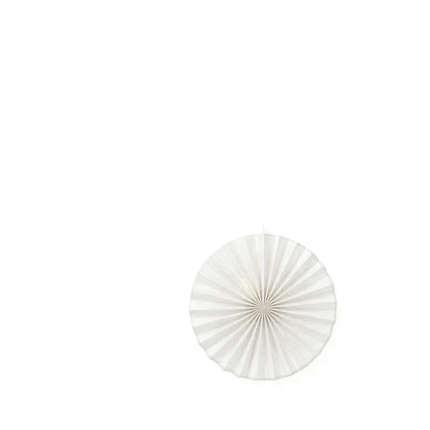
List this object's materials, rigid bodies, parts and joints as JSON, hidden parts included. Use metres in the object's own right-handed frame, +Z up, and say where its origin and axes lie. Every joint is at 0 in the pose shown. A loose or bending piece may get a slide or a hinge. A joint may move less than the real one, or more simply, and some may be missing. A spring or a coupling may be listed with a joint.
{
  "type": "paper fan rosette",
  "caption": "Round hanging decoration of pleated paper, opened like a fan into a full circle, with two stiff card strips at the seam that form a hanging tab.",
  "frame": {"origin": "middle of the hanging hole in the tab, halfway through the two cards", "axes": "+Z up, from the hub to the tab; the pleated disc stands in the XZ plane and its front faces -Y; +X to the right seen from the front, along the hanging hole"},
  "size_m": [0.2298, 0.0202, 0.2464],
  "materials": {
    "pleated_paper": "uncoated off-white paper with a fine grain, matte",
    "white_card": "smooth white board, matte, with a fibrous cut edge",
    "clear_adhesive": "thin double-sided film, slightly milky",
    "white_thread": "twisted cotton thread, matte"
  },
  "bodies": {
    "root": {"pleated_sheet": "pleated_paper", "end_card_right": "white_card", "end_card_left": "white_card", "adhesive_strip": "clear_adhesive", "binding_thread": "white_thread"}
  },
  "joints": []
}
